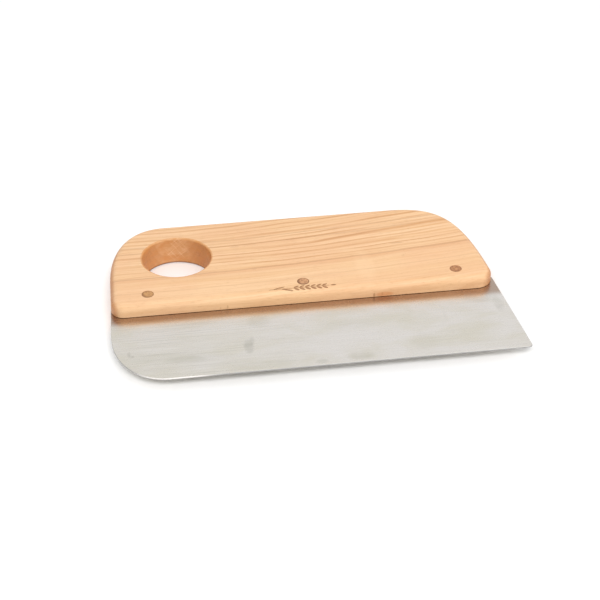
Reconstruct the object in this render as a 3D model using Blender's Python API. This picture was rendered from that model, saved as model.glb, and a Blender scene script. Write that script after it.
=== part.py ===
"""Bench scraper: a sheet-steel blade let into a saw kerf in a birch handle.

The blade's tang fills the kerf and three hardwood dowels run down through the
handle and the tang, so the blade can neither pull out nor pivot.

Frame: +X runs along the blade, +Y from the scraping edge to the back of the
handle, +Z is up. Z = 0 is the flat underside of the handle, and X = Y = 0 is
the middle of the overall length and depth. Lengths are in metres.
"""

import math

import bmesh
import bpy
from mathutils import Vector

# Overall depth, from the scraping edge to the back of the handle.
OVERALL_DEPTH = 0.1233
SCRAPING_EDGE_Y = -OVERALL_DEPTH / 2
HANDLE_BACK_Y = OVERALL_DEPTH / 2

# Handle: a board whose whole edge is rounded over, top and bottom.
HANDLE_THICKNESS = 0.0150
HANDLE_DEPTH = 0.0714
HANDLE_FRONT_Y = HANDLE_BACK_Y - HANDLE_DEPTH
EDGE_ROUNDOVER = 0.0037
ROUNDOVER_STEPS = 5
MID_Z = HANDLE_THICKNESS / 2

# The ends lean towards each other: half widths at Y = 0, and the lean.
LEFT_END_X = -0.0989
RIGHT_END_X = 0.0937
LEFT_LEAN = math.radians(2.35)
RIGHT_LEAN = math.radians(-5.65)

# Corner curves: how far along the end and along the long side each begins,
# and how full it is (0.552 is a circle's arc).
CIRCLE_FULLNESS = 0.552
BACK_LEFT_CORNER = (0.0454, 0.0286, 0.640)
BACK_RIGHT_CORNER = (0.0600, 0.0358, 0.780)
FRONT_LEFT_CORNER = (0.0068, 0.0068, CIRCLE_FULLNESS)
FRONT_RIGHT_CORNER = (0.0095, 0.0095, CIRCLE_FULLNESS)
BIG_CORNER_STEPS = 18
SMALL_CORNER_STEPS = 8

# Hanging hole, bored right through near the back left corner.
HOLE_RADIUS = 0.0175
HOLE_X = -0.0633
HOLE_Y = 0.0304
HOLE_RIM_ROUND = 0.0010
HOLE_RIM_STEPS = 3
HOLE_SIDES = 64

# Blade: flat sheet, its tang in the kerf at mid thickness.
BLADE_THICKNESS = 0.0008
BLADE_EDGE_EASE = 0.00015
TANG_DEPTH = 0.0180
TANG_BACK_Y = HANDLE_FRONT_Y + TANG_DEPTH
BLADE_LEFT_X = -0.0991
BLADE_RIGHT_X = 0.0947
BLADE_LEFT_LEAN = math.radians(2.9)
BLADE_RIGHT_LEAN = math.radians(-5.65)
SCRAPER_CORNER = (0.0373, 0.0282, 0.587)
TIP_CORNER = (0.0020, 0.0020, CIRCLE_FULLNESS)
TANG_CORNER = (0.0110, 0.0110, CIRCLE_FULLNESS)
TIP_STEPS = 5

# Dowels through the handle and the tang, sanded flush on both faces.
DOWEL_RADIUS = 0.0030
DOWEL_XS = {"dowel_left": -0.0804, "dowel_middle": -0.0025, "dowel_right": 0.0756}
DOWEL_Y = -0.0008
DOWEL_SIDES = 32

# Clearance between pieces that touch, and how far a cutter runs past a face.
FIT_GAP = 0.0003
CUTTER_OVERRUN = 0.0050
CUTTER_REACH = 0.1200
SHARP_ANGLE = math.radians(35)

# Each material's name, colour, roughness and metallic.
BIRCH = ("birch", (0.78, 0.52, 0.29), 0.45, 0.0)
DOWEL_WOOD = ("dowel_wood", (0.52, 0.30, 0.14), 0.55, 0.0)
SATIN_STAINLESS = ("satin_stainless", (0.66, 0.65, 0.62), 0.32, 1.0)


def clear_scene():
    """Empty the scene that the script is run in."""
    for obj in list(bpy.data.objects):
        bpy.data.objects.remove(obj, do_unlink=True)


def make_material(name, colour, roughness, metallic):
    """A plain Principled material."""
    material = bpy.data.materials.new(name)
    material.use_nodes = True
    shader = material.node_tree.nodes["Principled BSDF"]
    shader.inputs["Base Color"].default_value = (*colour, 1.0)
    shader.inputs["Roughness"].default_value = roughness
    shader.inputs["Metallic"].default_value = metallic
    return material


def point_on_end(end_x, lean, y):
    """A point at y on a handle or blade end that leans off the Y axis."""
    return Vector((end_x + y * math.tan(lean), y))


def corner_curve(before, corner, after, shape, steps):
    """Points round a corner, as a cubic that starts and stops on its sides.

    before and after are points on the side that arrives and the side that
    leaves; shape is (setback on arrival, setback on leaving, fullness).
    """
    setback_in, setback_out, fullness = shape
    start = corner + (before - corner).normalized() * setback_in
    end = corner + (after - corner).normalized() * setback_out
    pull_in = start.lerp(corner, fullness)
    pull_out = end.lerp(corner, fullness)
    points = []
    for step in range(steps + 1):
        t = step / steps
        s = 1.0 - t
        point = s**3 * start + 3 * s * s * t * pull_in + 3 * s * t * t * pull_out + t**3 * end
        points.append(point)
    return points


def swapped(shape):
    """The same corner walked from the long side to the end."""
    return (shape[1], shape[0], shape[2])


def rounded_outline(corners):
    """A closed outline, counter-clockwise, from (point, shape, steps)."""
    points = []
    for index, (corner, shape, steps) in enumerate(corners):
        before = corners[index - 1][0]
        after = corners[(index + 1) % len(corners)][0]
        points.extend(corner_curve(before, corner, after, shape, steps))
    return points


def handle_outline():
    """The handle's outline seen from above, at its widest."""
    front_left = point_on_end(LEFT_END_X, LEFT_LEAN, HANDLE_FRONT_Y)
    front_right = point_on_end(RIGHT_END_X, RIGHT_LEAN, HANDLE_FRONT_Y)
    back_right = point_on_end(RIGHT_END_X, RIGHT_LEAN, HANDLE_BACK_Y)
    back_left = point_on_end(LEFT_END_X, LEFT_LEAN, HANDLE_BACK_Y)
    return rounded_outline([
        (front_left, FRONT_LEFT_CORNER, SMALL_CORNER_STEPS),
        (front_right, FRONT_RIGHT_CORNER, SMALL_CORNER_STEPS),
        (back_right, BACK_RIGHT_CORNER, BIG_CORNER_STEPS),
        (back_left, swapped(BACK_LEFT_CORNER), BIG_CORNER_STEPS),
    ])


def blade_outline():
    """The blade's outline seen from above, tang included."""
    front_left = point_on_end(BLADE_LEFT_X, BLADE_LEFT_LEAN, SCRAPING_EDGE_Y)
    tip = point_on_end(BLADE_RIGHT_X, BLADE_RIGHT_LEAN, SCRAPING_EDGE_Y)
    tang_right = point_on_end(BLADE_RIGHT_X, BLADE_RIGHT_LEAN, TANG_BACK_Y)
    tang_left = point_on_end(BLADE_LEFT_X, BLADE_LEFT_LEAN, TANG_BACK_Y)
    return rounded_outline([
        (front_left, SCRAPER_CORNER, BIG_CORNER_STEPS),
        (tip, TIP_CORNER, TIP_STEPS),
        (tang_right, TANG_CORNER, SMALL_CORNER_STEPS),
        (tang_left, TANG_CORNER, SMALL_CORNER_STEPS),
    ])


def inset(outline, distance):
    """The outline moved inwards, square to itself, by distance."""
    moved = []
    for index, point in enumerate(outline):
        ahead = (outline[(index + 1) % len(outline)] - point).normalized()
        behind = (point - outline[index - 1]).normalized()
        along = (ahead + behind).normalized()
        inward = Vector((-along.y, along.x))
        moved.append(point + inward * distance / inward.dot(Vector((-ahead.y, ahead.x))))
    return moved


def circle(centre, radius, sides):
    """A ring of points, counter-clockwise seen from above."""
    ring = []
    for index in range(sides):
        angle = math.tau * index / sides
        ring.append(centre + radius * Vector((math.cos(angle), math.sin(angle))))
    return ring


def loft(name, sections):
    """A closed body through (outline, z) sections, listed from the bottom up."""
    mesh = bpy.data.meshes.new(name)
    bm = bmesh.new()
    rings = []
    for outline, z in sections:
        rings.append([bm.verts.new((point.x, point.y, z)) for point in outline])
    bm.faces.new(reversed(rings[0]))
    bm.faces.new(rings[-1])
    for lower, upper in zip(rings, rings[1:]):
        for index in range(len(lower)):
            following = (index + 1) % len(lower)
            bm.faces.new((lower[index], lower[following], upper[following], upper[index]))
    bm.to_mesh(mesh)
    bm.free()
    mesh.shade_smooth()
    mesh.set_sharp_from_angle(angle=SHARP_ANGLE)
    obj = bpy.data.objects.new(name, mesh)
    bpy.context.scene.collection.objects.link(obj)
    return obj


def roundover(radius, steps):
    """(inset, height) pairs up a quarter round, from the face to the side."""
    pairs = []
    for step in range(steps + 1):
        angle = math.radians(90) * step / steps
        pairs.append((radius * (1 - math.sin(angle)), radius * (1 - math.cos(angle))))
    return pairs


def cut(target, cutter):
    """Take cutter away from target and hide it."""
    cutter.hide_render = True
    cutter.display_type = "WIRE"
    modifier = target.modifiers.new(cutter.name, "BOOLEAN")
    modifier.operation = "DIFFERENCE"
    modifier.solver = "EXACT"
    modifier.object = cutter


def hole_cutter():
    """The hanging hole: a bore that flares at both faces for the eased rim."""
    centre = Vector((HOLE_X, HOLE_Y))
    flare = roundover(HOLE_RIM_ROUND, HOLE_RIM_STEPS)
    wide = circle(centre, HOLE_RADIUS + HOLE_RIM_ROUND, HOLE_SIDES)
    sections = [(wide, -CUTTER_OVERRUN)]
    for growth, height in flare:
        sections.append((circle(centre, HOLE_RADIUS + growth, HOLE_SIDES), height))
    for growth, height in reversed(flare):
        sections.append((circle(centre, HOLE_RADIUS + growth, HOLE_SIDES), HANDLE_THICKNESS - height))
    sections.append((wide, HANDLE_THICKNESS + CUTTER_OVERRUN))
    return loft("hanging_hole_cutter", sections)


def kerf_cutter():
    """The saw kerf along the handle's front edge, open at both ends."""
    back = TANG_BACK_Y + FIT_GAP
    front = HANDLE_FRONT_Y - CUTTER_OVERRUN
    slab = [
        Vector((-CUTTER_REACH, front)),
        Vector((CUTTER_REACH, front)),
        Vector((CUTTER_REACH, back)),
        Vector((-CUTTER_REACH, back)),
    ]
    half = BLADE_THICKNESS / 2 + FIT_GAP
    return loft("kerf_cutter", [(slab, MID_Z - half), (slab, MID_Z + half)])


def dowel_hole_cutter(name, x):
    """The drilled hole for one dowel, through the handle and the tang."""
    ring = circle(Vector((x, DOWEL_Y)), DOWEL_RADIUS + FIT_GAP, DOWEL_SIDES)
    top = HANDLE_THICKNESS + CUTTER_OVERRUN
    return loft(name, [(ring, -CUTTER_OVERRUN), (ring, top)])


def make_handle(material, cutters):
    """The birch board, rounded over all round, bored, kerfed and drilled."""
    outline = handle_outline()
    sections = []
    for distance, height in roundover(EDGE_ROUNDOVER, ROUNDOVER_STEPS):
        sections.append((inset(outline, distance), height))
    for distance, height in reversed(roundover(EDGE_ROUNDOVER, ROUNDOVER_STEPS)):
        sections.append((inset(outline, distance), HANDLE_THICKNESS - height))
    handle = loft("handle", sections)
    handle.data.materials.append(material)
    for cutter in cutters:
        cut(handle, cutter)
    return handle


def make_blade(material, cutters):
    """The sheet-steel blade with eased edges, its tang drilled for the dowels."""
    outline = blade_outline()
    eased = inset(outline, BLADE_EDGE_EASE)
    bottom = MID_Z - BLADE_THICKNESS / 2
    top = MID_Z + BLADE_THICKNESS / 2
    blade = loft("blade", [
        (eased, bottom),
        (outline, bottom + BLADE_EDGE_EASE),
        (outline, top - BLADE_EDGE_EASE),
        (eased, top),
    ])
    blade.data.materials.append(material)
    for cutter in cutters:
        cut(blade, cutter)
    return blade


def make_dowel(name, x, material):
    """One dowel, flush with the handle's two faces."""
    ring = circle(Vector((x, DOWEL_Y)), DOWEL_RADIUS, DOWEL_SIDES)
    dowel = loft(name, [(ring, 0.0), (ring, HANDLE_THICKNESS)])
    dowel.data.materials.append(material)
    return dowel


def build():
    """Make the scraper under one empty."""
    clear_scene()
    birch = make_material(*BIRCH)
    dowel_wood = make_material(*DOWEL_WOOD)
    steel = make_material(*SATIN_STAINLESS)

    dowel_cutters = []
    for name, x in DOWEL_XS.items():
        dowel_cutters.append(dowel_hole_cutter(name + "_cutter", x))
    hole = hole_cutter()
    kerf = kerf_cutter()

    root = bpy.data.objects.new("bench_scraper", None)
    bpy.context.scene.collection.objects.link(root)
    pieces = [
        make_handle(birch, [hole, kerf] + dowel_cutters),
        make_blade(steel, dowel_cutters),
    ]
    for name, x in DOWEL_XS.items():
        pieces.append(make_dowel(name, x, dowel_wood))
    for obj in pieces + dowel_cutters + [hole, kerf]:
        obj.parent = root


build()
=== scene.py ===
"""Looks for the bench scraper: oiled birch handle, satin steel blade, three dowels.

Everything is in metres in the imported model's frame: +X along the blade, +Y from
the scraping edge to the handle's back, +Z up, and Z = 0 under the handle.
"""

import math

import bmesh
import bpy
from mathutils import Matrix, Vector


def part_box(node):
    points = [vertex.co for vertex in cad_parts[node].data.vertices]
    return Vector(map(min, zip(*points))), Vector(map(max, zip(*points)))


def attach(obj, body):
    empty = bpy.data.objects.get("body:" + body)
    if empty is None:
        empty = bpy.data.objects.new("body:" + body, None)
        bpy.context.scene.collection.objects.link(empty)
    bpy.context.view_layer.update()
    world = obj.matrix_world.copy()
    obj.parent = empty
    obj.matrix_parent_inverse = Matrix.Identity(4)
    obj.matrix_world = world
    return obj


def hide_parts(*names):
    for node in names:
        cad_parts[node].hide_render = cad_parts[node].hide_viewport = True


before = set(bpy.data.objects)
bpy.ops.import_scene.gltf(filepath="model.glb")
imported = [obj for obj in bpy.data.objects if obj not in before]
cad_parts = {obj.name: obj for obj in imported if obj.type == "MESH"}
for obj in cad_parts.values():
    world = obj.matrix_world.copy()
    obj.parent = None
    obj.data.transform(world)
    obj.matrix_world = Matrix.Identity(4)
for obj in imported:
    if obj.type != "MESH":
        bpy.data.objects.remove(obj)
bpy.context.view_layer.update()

handle_low, handle_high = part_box("handle")
blade_low, blade_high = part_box("blade")

# ---------------------------------------------------------------- dimensions

HANDLE_DEPTH = 0.0714
BACK_Y = handle_high.y
FRONT_Y = BACK_Y - HANDLE_DEPTH
EDGE_Y = blade_low.y
THICK = handle_high.z
MID_Z = THICK / 2
ROUNDOVER = 0.0037
ROUNDOVER_STEPS = 12

# The ends lean: their x is given at y = 0.
LEFT_X = -0.0989
RIGHT_X = 0.0937
LEFT_LEAN = math.radians(2.35)
RIGHT_LEAN = math.radians(-5.65)

# A corner: how far it reaches along the edge before it and the edge after it,
# going anticlockwise, and how full its curve is. CIRCLE makes a round one.
CIRCLE = 0.552
BACK_LEFT = (0.0286, 0.0454, 0.640)
BACK_RIGHT = (0.0600, 0.0358, 0.780)
FRONT_LEFT = (0.0068, 0.0068, CIRCLE)
FRONT_RIGHT = (0.0095, 0.0095, CIRCLE)
BACK_STEPS = 44
FRONT_STEPS = 20

HOLE = Vector((-0.0633, 0.0304))
HOLE_R = 0.0175
RIM_ROUND = 0.0010
RIM_STEPS = 6
BORE_SIDES = 144

SHEET = blade_high.z - blade_low.z
TANG_Y = blade_high.y
BLADE_LEFT_X = -0.099097
BLADE_RIGHT_X = 0.09469
BLADE_LEFT_LEAN = math.radians(2.9)
BLADE_RIGHT_LEAN = math.radians(-5.65)
SCRAPER_CORNER = (0.0373, 0.0282, 0.587)
TIP = (0.0020, 0.0020, CIRCLE)
TANG = (0.0110, 0.0110, CIRCLE)
SCRAPER_STEPS = 48
TIP_STEPS = 10
TANG_STEPS = 12
EDGE_EASE = 0.00012

DOWEL_R = 0.0030
DOWELS = {"dowel_left": -0.0804, "dowel_middle": -0.0025, "dowel_right": 0.0756}
DOWEL_Y = -0.0008
DOWEL_SIDES = 64
DOWEL_EASE = 0.00012

# The gap that each cut leaves round the piece in it, and how far cutters overshoot.
DRILL_GAP = 0.00004
TANG_DRILL_GAP = 0.00006
TANG_DRILL_SIDES = 48
KERF_GAP = 0.00022
KERF_END_GAP = 0.0003
KERF_HALF_LENGTH = 0.12
OVERSHOOT = 0.005

# -------------------------------------------------------------------- colours

MM = 1000.0
WOOD_PALE = (0.92, 0.615, 0.356)
WOOD_MID = (0.85, 0.530, 0.278)
WOOD_ROSY = (0.86, 0.515, 0.290)
WOOD_ROSY_DARK = (0.74, 0.400, 0.200)
WOOD_LATE = (0.61, 0.295, 0.120)
WOOD_AMBER = (0.72, 0.370, 0.145)
WOOD_LINE = (0.44, 0.225, 0.105)
WOOD_PORE = (0.42, 0.220, 0.100)
END_PALE = (0.60, 0.255, 0.085)
END_DARK = (0.33, 0.118, 0.036)
BORE_BROWN = (0.68, 0.295, 0.085)
# Painted contact shade at the foot of the hole's wall.
BORE_FOOT_SHADE = (0.20, 0.075, 0.030)
CHAR = (0.29, 0.112, 0.038)
STEEL_PALE = (0.850, 0.815, 0.785)
STEEL_WARM = (0.775, 0.735, 0.640)
STEEL_DARK = (0.56, 0.545, 0.510)
STEEL_BRIGHT = (0.88, 0.860, 0.835)
# Painted reflection: the handle's shaded front edge as mirrored in the steel in front of it.
STEEL_HANDLE_REFLECTION = (0.50, 0.390, 0.320)
# Darker colour of the sheet's edge faces: a duller sheared edge, and painted shade standing in
# for the dark line under the blade's edge.
STEEL_DULL_EDGE_AND_SHADE = (0.42, 0.410, 0.395)

# Marks on the handle's front edge: centre and half sizes in x and z, in
# millimetres, then strength and colour.
EDGE_MARKS = (
    ((37.5, 9.3), (4.4, 1.3), 0.60, (0.66, 0.260, 0.090)),
    ((32.2, 9.2), (0.55, 1.2), 0.60, (0.36, 0.150, 0.060)),
    ((36.3, 9.6), (0.45, 1.0), 0.40, (0.46, 0.190, 0.075)),
    ((-41.7, 9.4), (0.45, 1.1), 0.40, (0.46, 0.240, 0.110)),
    ((-45.2, 9.0), (0.40, 0.8), 0.25, (0.48, 0.250, 0.120)),
)

# Smudges and stains on the blade: centre and half sizes in x and y, in
# millimetres, then strength and colour.
STEEL_SPOTS = (
    ((-35.2, -42.0), (2.3, 5.0), 0.64, (0.42, 0.415, 0.380)),
    ((-33.0, -37.4), (1.2, 3.0), 0.45, (0.46, 0.450, 0.410)),
    ((-28.0, -22.0), (5.0, 5.0), 0.40, (0.58, 0.565, 0.520)),
    ((-92.8, -40.6), (0.8, 2.2), 0.60, (0.42, 0.400, 0.360)),
    ((-91.2, -42.2), (0.9, 0.9), 0.60, (0.40, 0.385, 0.350)),
    ((-77.0, -45.5), (16.0, 3.6), 0.45, (0.62, 0.600, 0.520)),
    ((-66.0, -48.5), (9.0, 2.8), 0.50, (0.56, 0.545, 0.470)),
    ((-30.0, -57.5), (14.0, 3.0), 0.42, (0.62, 0.590, 0.490)),
    ((17.0, -57.0), (6.0, 3.2), 0.42, (0.50, 0.480, 0.390)),
    ((-2.0, -59.0), (3.0, 1.6), 0.50, (0.50, 0.485, 0.420)),
    ((16.0, -31.0), (13.0, 4.0), 0.30, (0.60, 0.580, 0.530)),
    ((64.0, -30.0), (0.7, 6.0), 0.18, (0.56, 0.545, 0.500)),
    ((50.0, -50.0), (7.0, 6.0), 0.28, (0.60, 0.580, 0.510)),
    ((84.0, -17.0), (7.5, 5.0), 0.45, (0.54, 0.525, 0.480)),
    ((92.5, -24.0), (2.2, 6.5), 0.45, (0.52, 0.500, 0.450)),
)

# ------------------------------------------------------------------ geometry


def on_end(end_x, lean, y):
    """The point at y on a leaning end."""
    return Vector((end_x + y * math.tan(lean), y))


def corner_curve(before, corner, after, shape, steps):
    """Points along a cubic curve that cuts a corner of the outline."""
    start = corner + (before - corner).normalized() * shape[0]
    end = corner + (after - corner).normalized() * shape[1]
    pull_in = start.lerp(corner, shape[2])
    pull_out = end.lerp(corner, shape[2])
    points = []
    for step in range(steps + 1):
        t = step / steps
        s = 1.0 - t
        points.append(
            s**3 * start + 3 * s * s * t * pull_in + 3 * s * t * t * pull_out + t**3 * end
        )
    return points


def outline_of(corners):
    """A closed outline from (corner point, shape, steps), anticlockwise from above."""
    points = []
    for index, (corner, shape, steps) in enumerate(corners):
        before = corners[index - 1][0]
        after = corners[(index + 1) % len(corners)][0]
        points.extend(corner_curve(before, corner, after, shape, steps))
    return points


def handle_outline():
    return outline_of([
        (on_end(LEFT_X, LEFT_LEAN, FRONT_Y), FRONT_LEFT, FRONT_STEPS),
        (on_end(RIGHT_X, RIGHT_LEAN, FRONT_Y), FRONT_RIGHT, FRONT_STEPS),
        (on_end(RIGHT_X, RIGHT_LEAN, BACK_Y), BACK_RIGHT, BACK_STEPS),
        (on_end(LEFT_X, LEFT_LEAN, BACK_Y), BACK_LEFT, BACK_STEPS),
    ])


def blade_outline():
    return outline_of([
        (on_end(BLADE_LEFT_X, BLADE_LEFT_LEAN, EDGE_Y), SCRAPER_CORNER, SCRAPER_STEPS),
        (on_end(BLADE_RIGHT_X, BLADE_RIGHT_LEAN, EDGE_Y), TIP, TIP_STEPS),
        (on_end(BLADE_RIGHT_X, BLADE_RIGHT_LEAN, TANG_Y), TANG, TANG_STEPS),
        (on_end(BLADE_LEFT_X, BLADE_LEFT_LEAN, TANG_Y), TANG, TANG_STEPS),
    ])


def inset(outline, distance):
    """The outline moved inwards by a distance, point by point."""
    moved = []
    for index, point in enumerate(outline):
        ahead = (outline[(index + 1) % len(outline)] - point).normalized()
        behind = (point - outline[index - 1]).normalized()
        along = (ahead + behind).normalized()
        inward = Vector((-along.y, along.x))
        moved.append(point + inward * distance / inward.dot(Vector((-ahead.y, ahead.x))))
    return moved


def circle(centre, radius, sides):
    return [
        centre + radius * Vector((math.cos(math.tau * i / sides), math.sin(math.tau * i / sides)))
        for i in range(sides)
    ]


def quarter(radius, steps):
    """(inset, height) pairs up a quarter round, from the face to the side."""
    pairs = []
    for step in range(steps + 1):
        a = math.radians(90) * step / steps
        pairs.append((radius * (1 - math.sin(a)), radius * (1 - math.cos(a))))
    return pairs


def loft(name, sections):
    """A closed body through (outline, height) sections, from the lowest up."""
    mesh = bpy.data.meshes.new(name)
    bm = bmesh.new()
    rings = [[bm.verts.new((p.x, p.y, z)) for p in outline] for outline, z in sections]
    bm.faces.new(reversed(rings[0]))
    bm.faces.new(rings[-1])
    for lower, upper in zip(rings, rings[1:]):
        for i in range(len(lower)):
            j = (i + 1) % len(lower)
            bm.faces.new((lower[i], lower[j], upper[j], upper[i]))
    bm.to_mesh(mesh)
    bm.free()
    obj = bpy.data.objects.new(name, mesh)
    bpy.context.scene.collection.objects.link(obj)
    return obj


# Edges that turn more than this many degrees are shaded as sharp.
WOOD_SHARP = 38
SHEET_SHARP = 30


def settle(obj, cutters, sharp=WOOD_SHARP):
    """Cut obj, keep the result as its mesh, and drop the cutters."""
    for cutter in cutters:
        modifier = obj.modifiers.new(cutter.name, "BOOLEAN")
        modifier.operation = "DIFFERENCE"
        modifier.solver = "EXACT"
        modifier.material_mode = "TRANSFER"
        modifier.object = cutter
    bpy.context.view_layer.update()
    evaluated = obj.evaluated_get(bpy.context.evaluated_depsgraph_get())
    mesh = bpy.data.meshes.new_from_object(evaluated)
    obj.modifiers.clear()
    obj.data = mesh
    mesh.name = obj.name
    mesh.shade_smooth()
    mesh.set_sharp_from_angle(angle=math.radians(sharp))
    weighted = obj.modifiers.new("even_shading", "WEIGHTED_NORMAL")
    weighted.keep_sharp = True
    weighted.weight = 100
    for cutter in cutters:
        bpy.data.objects.remove(cutter, do_unlink=True)
    return obj


# ----------------------------------------------------------------- materials


class Graph:
    """A small helper for building a material's nodes."""

    def __init__(self, name):
        self.material = bpy.data.materials.new(name)
        self.material.use_nodes = True
        self.tree = self.material.node_tree
        self.shader = self.tree.nodes["Principled BSDF"]

    def new(self, kind, **settings):
        node = self.tree.nodes.new(kind)
        for key, value in settings.items():
            setattr(node, key, value)
        return node

    def put(self, socket, value):
        """Link the value if it is a socket, or else set it."""
        if isinstance(value, bpy.types.NodeSocket):
            self.tree.links.new(value, socket)
        elif value is not None:
            socket.default_value = value

    def math(self, operation, a, b=None, c=None, clamp=False):
        node = self.new("ShaderNodeMath", operation=operation, use_clamp=clamp)
        for socket, value in zip(node.inputs, (a, b, c)):
            self.put(socket, value)
        return node.outputs[0]

    def times(self, a, b):
        return self.math("MULTIPLY", a, b)

    def plus(self, a, b):
        return self.math("ADD", a, b)

    def minus(self, a, b):
        return self.math("SUBTRACT", a, b)

    def scaled(self, value, factor, offset, clamp=False):
        """value * factor + offset"""
        return self.math("MULTIPLY_ADD", value, factor, offset, clamp)

    def squares(self, a, b):
        """a * a + b * b"""
        return self.plus(self.times(a, a), self.times(b, b))

    def vector(self, x, y, z):
        node = self.new("ShaderNodeCombineXYZ")
        for socket, value in zip(node.inputs, (x, y, z)):
            self.put(socket, value)
        return node.outputs[0]

    def noise(self, vector, scale=1.0, detail=3.0, roughness=0.5, distortion=0.0):
        node = self.new("ShaderNodeTexNoise")
        self.put(node.inputs["Vector"], vector)
        node.inputs["Scale"].default_value = scale
        node.inputs["Detail"].default_value = detail
        node.inputs["Roughness"].default_value = roughness
        node.inputs["Distortion"].default_value = distortion
        return node.outputs["Fac"]

    def band(self, value, low, high, to_low=0.0, to_high=1.0):
        """A smooth step from to_low at low to to_high at high."""
        node = self.new("ShaderNodeMapRange", interpolation_type="SMOOTHSTEP")
        self.put(node.inputs["Value"], value)
        node.inputs["From Min"].default_value = low
        node.inputs["From Max"].default_value = high
        node.inputs["To Min"].default_value = to_low
        node.inputs["To Max"].default_value = to_high
        return node.outputs["Result"]

    def mix(self, factor, a, b):
        node = self.new("ShaderNodeMix", data_type="RGBA", blend_type="MIX")
        self.put(node.inputs["Factor"], factor)
        self.put(node.inputs["A"], a if isinstance(a, bpy.types.NodeSocket) else (*a, 1.0))
        self.put(node.inputs["B"], b if isinstance(b, bpy.types.NodeSocket) else (*b, 1.0))
        return node.outputs["Result"]

    def millimetres(self):
        """Object coordinates in millimetres, as three sockets."""
        place = self.new("ShaderNodeTexCoord")
        scaled = self.new("ShaderNodeVectorMath", operation="SCALE")
        self.put(scaled.inputs[0], place.outputs["Object"])
        scaled.inputs["Scale"].default_value = MM
        split = self.new("ShaderNodeSeparateXYZ")
        self.put(split.inputs[0], scaled.outputs[0])
        return split.outputs[0], split.outputs[1], split.outputs[2]

    def facing(self, axis):
        """How squarely the surface faces along an axis, from 0 to 1."""
        place = self.new("ShaderNodeTexCoord")
        split = self.new("ShaderNodeSeparateXYZ")
        self.put(split.inputs[0], place.outputs["Normal"])
        return self.math("ABSOLUTE", split.outputs[axis])

    def bump(self, height, distance, strength):
        node = self.new("ShaderNodeBump")
        self.put(node.inputs["Height"], height)
        node.inputs["Distance"].default_value = distance
        node.inputs["Strength"].default_value = strength
        return node.outputs["Normal"]

    def spot(self, x, y, centre, half, soft):
        """1 inside an ellipse with these half sizes, fading out at its rim."""
        across = self.scaled(x, 1 / half[0], -centre[0] / half[0])
        along = self.scaled(y, 1 / half[1], -centre[1] / half[1])
        return self.band(self.squares(across, along), 1.0 - soft, 1.0 + soft, 1.0, 0.0)

    def stretched(self, x, y, z, scales, **settings):
        """Noise whose grain is drawn out differently along each axis."""
        axes = []
        for value, scale in zip((x, y, z), scales):
            axes.append(self.times(value, scale) if scale else 0.0)
        return self.noise(self.vector(*axes), **settings)

    def sliced(self, x, y, scales, height, **settings):
        """Flat noise in x and y, cut from the pattern at one height."""
        place = self.vector(self.times(x, scales[0]), self.times(y, scales[1]), height)
        return self.noise(place, **settings)


# Where the birch's growth lines rise towards the right end, in millimetres.
RISE_START = -70.0
RISE_RUN = 158.0
RISE_HEIGHT = 11.5
RISE_POWER = 1.7

# How far they slant through the board's thickness, and where their height is 0.
SLANT = 0.30
LEVEL_ZERO = 4.5

# Single growth lines on the top: height at the left end, width, strength.
GROWTH_LINES = (
    (0.2, 0.42, 0.18),
    (12.9, 0.50, 0.52),
    (36.0, 0.45, 0.30),
    (41.6, 0.45, 0.30),
)
SHADED_LINE = 12.9

# Below this height, in millimetres, the grain is calm.
CALM_BELOW = 12.9
CALM_FADE = 3.0

# Rings to the millimetre, and the change in that, as a fraction, at the right end.
RINGS = 0.27
FINE_RINGS = 0.46
RING_SPREAD = -0.10

# How finely each noise in the wood varies along x, y and z, per millimetre.
WARP = (0.013, 0.045, 0.05)
WAVER = (0.05, 0.12, 0.1)
RING_DRIFT = (0.0, 0.06, 0.0)
RING_FADE = (0.018, 0.25, 0.0)
TONE = (0.007, 0.26, 0.08)
FIBRE = (0.030, 1.5, 1.5)
HAIR = (0.14, 6.0, 6.0)
PORE = (0.26, 4.2, 4.2)
BLUSH = (0.030, 0.050, 0.04)
STREAK = (0.016, 0.55, 0.3)
END_SPECK = (0.4, 2.6, 2.6)
BORE_MOTTLE = (0.16, 0.16, 0.30)
BORE_SCRATCH = (1.3, 0.0, 0.10)
CHAR_MOTTLE = (0.8, 2.0, 2.0)

# How strongly each of these tints the wood.
LATE_TINT = 0.95
FINE_RING_TINT = 0.28
AMBER_TINT = 0.62
FIBRE_TINT = 0.24
HAIR_TINT = 0.18
PORE_TINT = 0.34
PATCH_TINT = 0.35
SHADE_TINT = 0.50
# The ends' darkening is oiled end grain, and partly painted shade.
END_GRAIN_AND_SHADE_TINT = 0.88
SCRATCH_TINT = 0.50

# How soft the rims of spots are, from 0, and how deep the bumps are, in metres,
# with their strength.
SOFT_SPOT = 0.8
SOFT_FLECK = 0.7
SOFT_MARK = 0.6
WOOD_RELIEF = (0.00005, 0.7)

# Small dark flecks on the top: centre, half sizes, strength.
FLECKS = (
    ((50.5, 27.3), (3.6, 0.45), 0.42),
    ((-33.0, 35.6), (2.6, 0.40), 0.34),
    ((-25.0, 36.4), (3.0, 0.30), 0.22),
    ((-78.0, 39.6), (2.4, 0.35), 0.25),
    ((22.0, 40.2), (3.2, 0.30), 0.22),
)

# Centres and half sizes, in millimetres: a pale patch on the top, in x and y,
# and the tool marks in the bore, in x and z, with the slopes they run at.
PALE_PATCH = ((30.5, 9.0), (4.5, 13.0))
BORE_MARKS = ((-61.5, 8.5), (6.0, 6.0))
BORE_SLOPES = (0.8, -1.1)

# The y, in millimetres, in front of which the front edge's marks show in full,
# and the y where they begin.
MARKS_FULL = -8.6
MARKS_BEGIN = -8.0


def growth_level(g, x, y, z):
    """Height across the growth lines, which rise towards the right end."""
    run = g.scaled(x, 1 / RISE_RUN, -RISE_START / RISE_RUN, clamp=True)
    lift = g.times(g.math("POWER", run, RISE_POWER), RISE_HEIGHT)
    return g.minus(g.scaled(z, SLANT, g.minus(y, lift)), LEVEL_ZERO)


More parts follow.
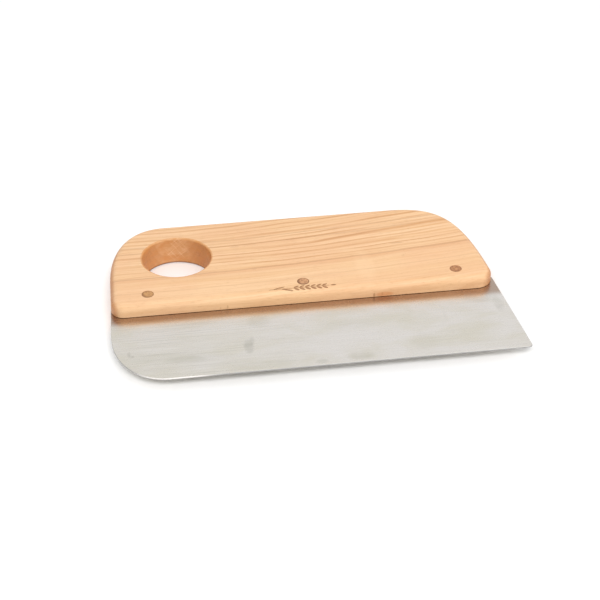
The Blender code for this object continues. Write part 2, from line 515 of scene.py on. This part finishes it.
def growth_rings(g, x, u, z, right, upper, colour):
    """Uneven rings, each darkening slowly and ending sharply, and finer ones where they fade."""
    spread = g.times(g.minus(u, CALM_BELOW), g.scaled(right, RING_SPREAD, 1.0))
    drift = g.stretched(x, u, z, RING_DRIFT, detail=1.0)
    fade = g.stretched(x, u, z, RING_FADE, detail=2.0)

    phase = g.math("FRACT", g.scaled(drift, 3.0, g.times(spread, RINGS)))
    late = g.times(g.band(phase, 0.48, 0.90), g.band(phase, 0.92, 1.0, 1.0, 0.0))
    late = g.times(g.times(late, g.band(fade, 0.34, 0.62)), upper)
    late = g.times(late, g.band(x, -75.0, -15.0, 0.62, 1.0))
    colour = g.mix(g.times(late, LATE_TINT), colour, WOOD_LATE)

    phase = g.math("FRACT", g.scaled(drift, 5.0, g.times(spread, FINE_RINGS)))
    fine = g.times(g.band(phase, 0.30, 0.86), g.band(phase, 0.88, 1.0, 1.0, 0.0))
    fine = g.times(fine, g.times(upper, g.band(fade, 0.62, 0.40)))
    return g.mix(g.times(fine, FINE_RING_TINT), colour, WOOD_LATE)


def growth_lines(g, level, waver, colour):
    """The single dark lines, and the rosy shade below the strongest."""
    for height, width, strength in GROWTH_LINES:
        offset = g.math("ABSOLUTE", g.plus(g.minus(level, height), waver))
        line = g.band(offset, width * 0.3, width * 1.6, strength, 0.0)
        colour = g.mix(line, colour, WOOD_LINE)
    under = g.plus(g.minus(level, SHADED_LINE), waver)
    shade = g.times(g.band(under, -5.5, -0.2), g.band(under, -0.1, 0.5, 1.0, 0.0))
    return g.mix(g.times(shade, SHADE_TINT), colour, WOOD_ROSY_DARK)


def end_grain_and_shade(g, x, y, z, colour):
    """The ends drink the oil and go darker, with fine pores; the darkening is made deeper than
    end grain alone, as painted shade on the faces that look along x.
    """
    end = g.band(g.facing(0), 0.28, 0.85)
    speck = g.stretched(x, y, z, END_SPECK, detail=3.0, roughness=0.7)
    dark = g.mix(g.band(speck, 0.35, 0.7), END_PALE, END_DARK)
    return g.mix(g.times(end, END_GRAIN_AND_SHADE_TINT), colour, dark)


def bore_wall(g, x, y, z, colour):
    """Brown, mottled wood with pale tool marks that cross, and a dark foot that is painted
    contact shade.
    """
    mottle = g.stretched(x, y, z, BORE_MOTTLE, detail=4.0, roughness=0.65)
    colour = g.mix(g.band(mottle, 0.34, 0.70, 0.45, 0.90), colour, BORE_BROWN)
    middle = g.spot(x, z, *BORE_MARKS, SOFT_SPOT)
    for slope in BORE_SLOPES:
        across = g.scaled(z, slope, x)
        scratch = g.stretched(across, y, z, BORE_SCRATCH, detail=2.0, roughness=0.6)
        mark = g.times(g.band(scratch, 0.54, 0.66), middle)
        colour = g.mix(g.times(mark, SCRATCH_TINT), colour, WOOD_PALE)
    # Painted contact shade: the wall darkens over its lowest 1.5 mm, where it meets the floor.
    return g.mix(g.band(z, 0.4, 1.5, 0.85, 0.0), colour, BORE_FOOT_SHADE)


def edge_marks(g, x, y, z, colour):
    """The pin knots and the amber patch in the handle's front edge."""
    front = g.band(y, MARKS_FULL, MARKS_BEGIN, 1.0, 0.0)
    for centre, half, strength, tint in EDGE_MARKS:
        mark = g.times(g.spot(x, z, centre, half, SOFT_MARK), front)
        colour = g.mix(g.times(mark, strength), colour, tint)
    return colour


def birch(name, burnt=0.0, bored=False):
    """Oiled birch: plain, bored for the walls of holes, or burnt this strongly."""
    g = Graph(name)
    x, y, z = g.millimetres()
    level = growth_level(g, x, y, z)
    warp = g.stretched(x, y, z, WARP, detail=2.0)
    waver = g.scaled(g.stretched(x, y, z, WAVER, detail=2.0), 1.6, -0.8)
    u = g.plus(g.scaled(warp, 6.0, -3.0), level)
    upper = g.band(level, CALM_BELOW - CALM_FADE, CALM_BELOW + CALM_FADE, 0.20, 1.0)
    right = g.band(x, 5.0, 75.0)

    # broad tone bands, fibres and pores, all drawn out along the grain
    tone = g.stretched(x, u, z, TONE, detail=3.0, roughness=0.6)
    fibre = g.stretched(x, u, z, FIBRE, detail=4.0, roughness=0.65)
    hair = g.stretched(x, u, z, HAIR, detail=3.0, roughness=0.6)
    pore = g.band(g.stretched(x, u, z, PORE, detail=1.0), 0.65, 0.74)
    blush = g.stretched(x, u, z, BLUSH, detail=2.0)
    streak = g.stretched(x, u, z, STREAK, detail=2.0, roughness=0.5)

    colour = g.mix(g.band(tone, 0.30, 0.70), WOOD_PALE, WOOD_MID)
    colour = g.mix(g.band(blush, 0.42, 0.68, 0.0, 0.50), colour, WOOD_ROSY)
    colour = growth_rings(g, x, u, z, right, upper, colour)
    amber = g.times(g.band(streak, 0.52, 0.66), g.times(right, upper))
    colour = g.mix(g.times(amber, AMBER_TINT), colour, WOOD_AMBER)
    colour = g.mix(g.band(fibre, 0.38, 0.72, 0.0, FIBRE_TINT), colour, WOOD_LATE)
    colour = g.mix(g.band(hair, 0.42, 0.80, 0.0, HAIR_TINT), colour, WOOD_LATE)
    patch = g.spot(x, y, *PALE_PATCH, SOFT_SPOT)
    colour = g.mix(g.times(patch, PATCH_TINT), colour, WOOD_PALE)
    colour = growth_lines(g, level, waver, colour)
    for centre, half, strength in FLECKS:
        fleck = g.times(g.spot(x, y, centre, half, SOFT_FLECK), strength)
        colour = g.mix(fleck, colour, WOOD_LINE)
    colour = g.mix(g.times(pore, PORE_TINT), colour, WOOD_PORE)

    colour = end_grain_and_shade(g, x, y, z, colour)
    if bored:
        colour = bore_wall(g, x, y, z, colour)
    else:
        colour = edge_marks(g, x, y, z, colour)
    if burnt:
        char = g.stretched(x, y, z, CHAR_MOTTLE, detail=2.0)
        colour = g.mix(g.band(char, 0.3, 0.7, burnt - 0.10, burnt + 0.08), colour, CHAR)
    g.put(g.shader.inputs["Base Color"], colour)

    gloss = g.scaled(pore, 0.15, g.band(fibre, 0.3, 0.8, 0.42, 0.55))
    g.put(g.shader.inputs["Roughness"], gloss)
    g.shader.inputs["Specular IOR Level"].default_value = 0.45
    relief = g.scaled(pore, -1.2, g.plus(hair, g.times(fibre, 0.8)))
    g.put(g.shader.inputs["Normal"], g.bump(relief, *WOOD_RELIEF))
    return g.material


# How finely the brushing on the steel varies along x, y and z, per millimetre,
# and the flatter noises along x and y, with the height each is cut at.
BRUSH = (0.030, 3.6, 0.0)
COARSE_BRUSH = (0.022, 1.05, 0.0)
FINE_BRUSH = ((0.20, 14.0), 2.0)
CLOUD = ((0.030, 0.055), 5.0)
SMEAR = ((0.08, 0.20), 9.0)
GRAIN_HEIGHT = 4.0
SOFT_STAIN = 0.85
STEEL_RELIEF = (0.00001, 0.35)

# Where the painted reflection of the handle's shaded front edge, a brown band on the steel in
# front of the handle, starts and is full, in y, and where the painted highlight on the sheared
# edge at the blunt corner rises and falls, in x.
HANDLE_REFLECTION_BAND = (FRONT_Y * MM - 8.2, FRONT_Y * MM - 2.7)
CORNER_HIGHLIGHT_RISE = (-94.0, -84.0)
CORNER_HIGHLIGHT_FALL = (-66.0, -48.0)


def satin_steel():
    """Satin sheet: brushed along x, smudged and stained, with a painted reflection of the handle
    in front of it, and a sheared edge darkened, partly as painted shade, with a painted highlight
    at the blunt corner.
    """
    g = Graph("satin_stainless")
    x, y, z = g.millimetres()
    left = g.band(x, -80.0, 15.0, 1.0, 0.32)
    brush = g.stretched(x, y, z, BRUSH, detail=5.0, roughness=0.75)
    coarse = g.stretched(x, y, z, COARSE_BRUSH, detail=4.0, roughness=0.75)
    fine = g.sliced(x, y, *FINE_BRUSH, detail=2.0, roughness=0.6)
    cloud = g.sliced(x, y, *CLOUD, detail=3.0, roughness=0.6, distortion=0.4)
    smear = g.sliced(x, y, *SMEAR, detail=4.0, roughness=0.65)
    grain = g.noise(g.vector(x, y, GRAIN_HEIGHT), scale=1.1, detail=3.0, roughness=0.7)

    colour = g.mix(g.band(cloud, 0.35, 0.70), STEEL_PALE, STEEL_WARM)
    colour = g.mix(g.times(left, 0.34), colour, STEEL_WARM)
    for pattern, start, full, strength, tint in (
        (brush, 0.44, 0.66, 0.26, STEEL_DARK),
        (coarse, 0.47, 0.68, 0.42, STEEL_DARK),
        (coarse, 0.46, 0.32, 0.50, STEEL_BRIGHT),
        (brush, 0.50, 0.34, 0.30, STEEL_BRIGHT),
    ):
        lines = g.times(g.band(pattern, start, full), g.times(left, strength))
        colour = g.mix(lines, colour, tint)
    colour = g.mix(g.band(grain, 0.45, 0.75, 0.0, 0.12), colour, STEEL_DARK)

    worn = g.scaled(smear, 1.6, -0.3, clamp=True)
    stain = 0.0
    for centre, half, strength, tint in STEEL_SPOTS:
        mark = g.times(g.spot(x, y, centre, half, SOFT_STAIN), g.times(worn, strength))
        colour = g.mix(mark, colour, tint)
        stain = g.math("MAXIMUM", mark, stain)
    # Painted reflection: a brown band on the steel just in front of the handle, standing in for
    # the handle's shaded front edge mirrored in the sheet.
    colour = g.mix(g.band(y, *HANDLE_REFLECTION_BAND), colour, STEEL_HANDLE_REFLECTION)

    # Edge faces are darkened, partly as a duller sheared edge and partly as painted shade; at the
    # blunt corner they are made pale instead, a painted highlight.
    side = g.band(g.facing(2), 0.74, 0.96, 1.0, 0.0)
    corner = g.times(g.band(x, *CORNER_HIGHLIGHT_RISE), g.band(x, *CORNER_HIGHLIGHT_FALL, 1.0, 0.0))
    colour = g.mix(side, colour, g.mix(corner, STEEL_DULL_EDGE_AND_SHADE, STEEL_PALE))
    g.put(g.shader.inputs["Base Color"], colour)
    g.shader.inputs["Metallic"].default_value = 1.0

    rough = g.band(smear, 0.3, 0.7, 0.20, 0.27)
    for cause, amount in ((fine, 0.05), (stain, 0.12), (side, 0.20)):
        rough = g.scaled(cause, amount, rough)
    g.put(g.shader.inputs["Roughness"], rough)
    height = g.plus(brush, g.times(fine, 0.5))
    g.put(g.shader.inputs["Normal"], g.bump(height, *STEEL_RELIEF))
    return g.material


# How far the pale heart of a dowel's end, and the centre of its growth arcs,
# lie off the dowel's centre, in millimetres, and the arcs' radians per millimetre.
RIM_SHIFT = (0.35, 0.35)
ARC_CENTRE = (-4.0, 7.0)
ARC_RATE = 5.2
DOWEL_RELIEF = (0.00006, 0.7)


def dowel_wood(name, centre_x, pale, dark, rim, rim_strength):
    """End grain of a dowel: pores, growth arcs, and a darker rim, thickest at the front left."""
    g = Graph(name)
    x, y, z = g.millimetres()
    dx = g.minus(x, centre_x * MM)
    dy = g.minus(y, DOWEL_Y * MM)
    out = g.math("SQRT", g.squares(g.minus(dx, RIM_SHIFT[0]), g.minus(dy, RIM_SHIFT[1])))
    arc = g.math("SQRT", g.squares(g.minus(dx, ARC_CENTRE[0]), g.minus(dy, ARC_CENTRE[1])))
    cells = g.noise(g.vector(x, y, g.times(z, 0.05)), scale=0.85, detail=4.0, roughness=0.65)
    rings = g.math("SINE", g.scaled(cells, 1.5, g.times(arc, ARC_RATE)))
    colour = g.mix(g.band(cells, 0.40, 0.62), pale, dark)
    colour = g.mix(g.band(rings, 0.0, 1.0, 0.0, 0.35), colour, dark)
    edge = g.band(g.scaled(cells, 0.8, out), 2.3, 3.1, 0.0, rim_strength)
    colour = g.mix(edge, colour, rim)
    g.put(g.shader.inputs["Base Color"], colour)
    g.shader.inputs["Roughness"].default_value = 0.6
    g.put(g.shader.inputs["Normal"], g.bump(cells, *DOWEL_RELIEF))
    return g.material


# -------------------------------------------------------------------- pieces

wood = birch("oiled_birch")
bore_wood = birch("bored_birch", bored=True)
burnt_wood = birch("burnt_birch", burnt=0.80)
steel = satin_steel()

# A generic wheat ear, burnt into the top: its middle line, stem, kernels and leaves.
EAR_Y = -0.0061
STEM_FROM = -0.0205
STEM_TO = 0.0101
STEM_HALF = 0.00015
KERNEL = (0.00150, 0.00052)
KERNEL_PAIRS = 6
KERNEL_FROM = -0.0066
KERNEL_STEP = 0.00285
KERNEL_OUT = 0.00098
KERNEL_TURN = math.radians(24)
LEAVES = ((-0.0152, 0.00095, 14), (-0.0112, -0.00095, -14))
LEAF = (0.0030, 0.00042)
BURN_DEPTH = 0.00014
EAR_ROOF = 0.002
LENS_SIDES = 20
LENS_POINT = 0.35


def top_at(y):
    """The height of the handle's upper surface in front of its middle."""
    into = max(0.0, FRONT_Y + ROUNDOVER - y)
    return THICK - (ROUNDOVER - math.sqrt(ROUNDOVER**2 - into**2))


def lens(centre, half, turn):
    """A pointed oval outline."""
    points = []
    for index in range(LENS_SIDES):
        angle = math.tau * index / LENS_SIDES
        along = half[0] * math.cos(angle)
        across = half[1] * math.sin(angle) * abs(math.sin(angle)) ** LENS_POINT
        points.append(centre + Vector((
            along * math.cos(turn) - across * math.sin(turn),
            along * math.sin(turn) + across * math.cos(turn),
        )))
    return points


def ear_shapes():
    """Outlines of the stem, the pairs of kernels, the last kernel and the leaves."""
    shapes = [[
        Vector((STEM_FROM, EAR_Y - STEM_HALF)),
        Vector((STEM_TO, EAR_Y - STEM_HALF)),
        Vector((STEM_TO, EAR_Y + STEM_HALF)),
        Vector((STEM_FROM, EAR_Y + STEM_HALF)),
    ]]
    for index in range(KERNEL_PAIRS):
        x = KERNEL_FROM + KERNEL_STEP * index
        for side in (1, -1):
            place = Vector((x, EAR_Y + side * KERNEL_OUT))
            shapes.append(lens(place, KERNEL, side * KERNEL_TURN))
    shapes.append(lens(Vector((STEM_TO + KERNEL[0] * 1.25, EAR_Y)), KERNEL, 0.0))
    for x, out, turn in LEAVES:
        shapes.append(lens(Vector((x, EAR_Y + out)), LEAF, math.radians(turn)))
    return shapes


def ear_cutter():
    """Shallow pockets that follow the surface, one for each stroke of the ear."""
    mesh = bpy.data.meshes.new("wheat_ear")
    bm = bmesh.new()
    for shape in ear_shapes():
        floor_ring = [bm.verts.new((p.x, p.y, top_at(p.y) - BURN_DEPTH)) for p in shape]
        roof_ring = [bm.verts.new((p.x, p.y, THICK + EAR_ROOF)) for p in shape]
        middle = sum(shape, Vector((0.0, 0.0))) / len(shape)
        low = bm.verts.new((middle.x, middle.y, top_at(middle.y) - BURN_DEPTH))
        bm.faces.new(roof_ring)
        for i in range(len(shape)):
            j = (i + 1) % len(shape)
            bm.faces.new((floor_ring[j], floor_ring[i], low))
            bm.faces.new((floor_ring[i], floor_ring[j], roof_ring[j], roof_ring[i]))
    bm.to_mesh(mesh)
    bm.free()
    obj = bpy.data.objects.new("wheat_ear", mesh)
    bpy.context.scene.collection.objects.link(obj)
    mesh.materials.append(burnt_wood)
    return obj


def bore_cutter():
    """The hanging hole, flared at both faces for its eased rims."""
    wide = circle(HOLE, HOLE_R + RIM_ROUND, BORE_SIDES)
    flare = [
        (circle(HOLE, HOLE_R + grow, BORE_SIDES), height)
        for grow, height in quarter(RIM_ROUND, RIM_STEPS)
    ]
    stack = [(wide, -OVERSHOOT)] + flare
    stack += [(ring, THICK - height) for ring, height in reversed(flare)]
    stack += [(wide, THICK + OVERSHOOT)]
    bore = loft("bore", stack)
    bore.data.materials.append(bore_wood)
    return bore


def kerf_cutter():
    """The saw kerf in the front edge, open at both ends."""
    half = SHEET / 2 + KERF_GAP
    back = TANG_Y + KERF_END_GAP
    front = FRONT_Y - OVERSHOOT
    slab = [
        Vector((-KERF_HALF_LENGTH, front)),
        Vector((KERF_HALF_LENGTH, front)),
        Vector((KERF_HALF_LENGTH, back)),
        Vector((-KERF_HALF_LENGTH, back)),
    ]
    kerf = loft("kerf", [(slab, MID_Z - half), (slab, MID_Z + half)])
    kerf.data.materials.append(bore_wood)
    return kerf


def build_handle():
    outline = handle_outline()
    lower = [
        (inset(outline, distance), height)
        for distance, height in quarter(ROUNDOVER, ROUNDOVER_STEPS)
    ]
    sections = lower + [(ring, THICK - height) for ring, height in reversed(lower)]
    handle = loft("birch_handle", sections)
    handle.data.materials.append(wood)
    cutters = [bore_cutter(), kerf_cutter(), ear_cutter()]
    for name, dowel_x in DOWELS.items():
        ring = circle(Vector((dowel_x, DOWEL_Y)), DOWEL_R + DRILL_GAP, DOWEL_SIDES)
        drill = loft(name + "_drill", [(ring, -OVERSHOOT), (ring, THICK + OVERSHOOT)])
        drill.data.materials.append(bore_wood)
        cutters.append(drill)
    settle(handle, cutters)
    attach(handle, "root")
    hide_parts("handle")
    return handle


def build_blade():
    outline = blade_outline()
    eased = inset(outline, EDGE_EASE)
    low, high = blade_low.z, blade_high.z
    blade = loft("steel_blade", [
        (eased, low),
        (outline, low + EDGE_EASE),
        (outline, high - EDGE_EASE),
        (eased, high),
    ])
    blade.data.materials.append(steel)
    drills = []
    for name, dowel_x in DOWELS.items():
        place = Vector((dowel_x, DOWEL_Y))
        ring = circle(place, DOWEL_R + TANG_DRILL_GAP, TANG_DRILL_SIDES)
        drill = loft(name + "_tang_drill", [(ring, low - OVERSHOOT), (ring, high + OVERSHOOT)])
        drill.data.materials.append(steel)
        drills.append(drill)
    settle(blade, drills, SHEET_SHARP)
    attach(blade, "root")
    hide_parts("blade")
    return blade


def build_dowel(name, material):
    centre = Vector((DOWELS[name], DOWEL_Y))
    full = circle(centre, DOWEL_R, DOWEL_SIDES)
    eased = circle(centre, DOWEL_R - DOWEL_EASE, DOWEL_SIDES)
    dowel = loft(name + "_pin", [
        (eased, 0.0),
        (full, DOWEL_EASE),
        (full, THICK - DOWEL_EASE),
        (eased, THICK),
    ])
    dowel.data.materials.append(material)
    settle(dowel, [])
    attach(dowel, "root")
    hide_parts(name)
    return dowel


# Dowel looks: pale, dark and rim colours, and how strongly the rim shows.
DOWEL_LOOKS = {
    "dowel_left": ((0.60, 0.320, 0.120), (0.44, 0.215, 0.080), (0.31, 0.140, 0.052), 0.80),
    "dowel_middle": ((0.66, 0.350, 0.170), (0.42, 0.200, 0.090), (0.27, 0.120, 0.050), 0.92),
    "dowel_right": ((0.58, 0.280, 0.120), (0.34, 0.140, 0.056), (0.33, 0.140, 0.058), 0.60),
}

scraper = [build_handle(), build_blade()]
for dowel_name, looks in DOWEL_LOOKS.items():
    pin_wood = dowel_wood(dowel_name + "_wood", DOWELS[dowel_name], *looks)
    scraper.append(build_dowel(dowel_name, pin_wood))

# --------------------------------------------------------------- floor, light

FLOOR_HALF = 6.0
FLOOR_Z = -0.0001
FLOOR_WHITE = (0.92, 0.92, 0.92, 1.0)
WORLD_WHITE = (1.0, 1.0, 1.0, 1.0)
WORLD_STRENGTH = 0.86

# Lamps: place and size in metres, power in watts.
KEY = ((0.40, -0.56, 0.92), (0.7, 0.7), 5.5)
FLOOR_FILL = ((-0.15, -0.96, 1.04), (0.80, 0.29), 13.0)


def make_floor():
    mesh = bpy.data.meshes.new("floor")
    bm = bmesh.new()
    bmesh.ops.create_grid(bm, x_segments=1, y_segments=1, size=FLOOR_HALF)
    bm.to_mesh(mesh)
    bm.free()
    floor = bpy.data.objects.new("floor", mesh)
    floor.location.z = FLOOR_Z
    bpy.context.scene.collection.objects.link(floor)
    g = Graph("white_floor")
    g.shader.inputs["Base Color"].default_value = FLOOR_WHITE
    g.shader.inputs["Roughness"].default_value = 0.8
    g.shader.inputs["Specular IOR Level"].default_value = 0.1
    mesh.materials.append(g.material)
    return floor


def area_light(name, place, size, power, lit):
    """A rectangular lamp aimed at the origin that lights only the objects in lit."""
    data = bpy.data.lights.new(name, "AREA")
    data.shape = "RECTANGLE"
    data.size = size[0]
    data.size_y = size[1]
    data.energy = power
    lamp = bpy.data.objects.new(name, data)
    lamp.location = place
    lamp.rotation_euler = (-Vector(place)).to_track_quat("-Z", "Y").to_euler()
    bpy.context.scene.collection.objects.link(lamp)
    receivers = bpy.data.collections.new(name + "_receivers")
    for obj in lit:
        receivers.objects.link(obj)
    lamp.light_linking.receiver_collection = receivers
    return lamp


def make_light(pieces, floor):
    world = bpy.data.worlds.new("studio")
    world.use_nodes = True
    background = world.node_tree.nodes["Background"]
    background.inputs["Color"].default_value = WORLD_WHITE
    background.inputs["Strength"].default_value = WORLD_STRENGTH
    bpy.context.scene.world = world
    area_light("key", *KEY, pieces)
    area_light("floor_fill", *FLOOR_FILL, [floor])


# The camera, solved from the photo: the point that it looks at, how far off it
# stands, and how far it is turned round the part and raised above the floor.
SENSOR_WIDTH = 36.0
LENS = 105.2
AIM = Vector((-0.0033, 0.0045, 0.0))
DISTANCE = 0.8913
AZIMUTH = math.radians(-8.447)
ELEVATION = math.radians(34.774)


def make_camera():
    data = bpy.data.cameras.new("camera")
    data.sensor_width = SENSOR_WIDTH
    data.lens = LENS
    camera = bpy.data.objects.new("camera", data)
    back = Vector((
        math.sin(AZIMUTH) * math.cos(ELEVATION),
        -math.cos(AZIMUTH) * math.cos(ELEVATION),
        math.sin(ELEVATION),
    ))
    camera.location = AIM + back * DISTANCE
    camera.rotation_euler = (-back).to_track_quat("-Z", "Y").to_euler()
    bpy.context.scene.collection.objects.link(camera)
    bpy.context.scene.camera = camera


make_light(scraper, make_floor())
make_camera()
bpy.context.scene.view_settings.view_transform = "Standard"
